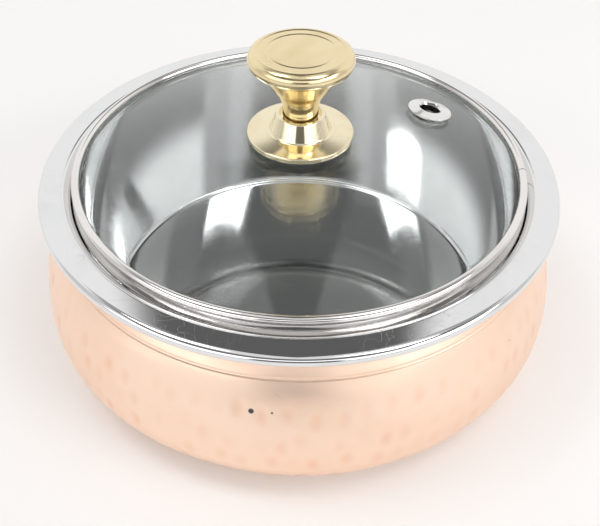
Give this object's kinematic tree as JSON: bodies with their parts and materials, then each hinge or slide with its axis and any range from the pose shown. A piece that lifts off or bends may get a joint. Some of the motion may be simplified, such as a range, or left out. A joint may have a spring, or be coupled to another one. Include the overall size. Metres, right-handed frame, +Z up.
{
  "type": "copper serving pan with glass lid",
  "caption": "Squat round copper pan over a polished steel bowl with a rolled lip, under a domed glass lid in a steel band with a steam vent and a turned brass knob.",
  "frame": {"origin": "middle of the pan's flat base, on the table", "axes": "+Z up along the axis of pan and lid; +X to the right and +Y away in the picture's view"},
  "size_m": [0.1708, 0.1708, 0.0983],
  "materials": {
    "copper": "polished copper with soft hammer marks",
    "polished_steel": "mirror polished with fine scratches",
    "band_steel": "bright polished",
    "vent_steel": "bright pressed",
    "glass": "clear, polished",
    "brass": "turned, with fine tool marks",
    "rosette_metal": "turned and polished",
    "silicone": "matte translucent",
    "zinc_steel": "bright zinc plated"
  },
  "bodies": {
    "pan": {"copper_shell": "copper", "steel_liner": "polished_steel"},
    "lid": {"rim_band": "band_steel", "band_seal": "silicone", "lid_glass": "glass", "vent_eyelet": "vent_steel", "vent_washer": "vent_steel", "knob_gasket_upper": "silicone", "knob_rosette": "rosette_metal", "knob_handle": "brass", "knob_gasket_lower": "silicone", "knob_washer": "zinc_steel", "knob_lock_washer": "zinc_steel", "knob_screw": "zinc_steel"}
  },
  "joints": [
    {"name": "lid_lift", "type": "slide", "parent": "pan", "child": "lid", "axis": [0, 0, 1], "range_m": [0, 0.12]}
  ]
}
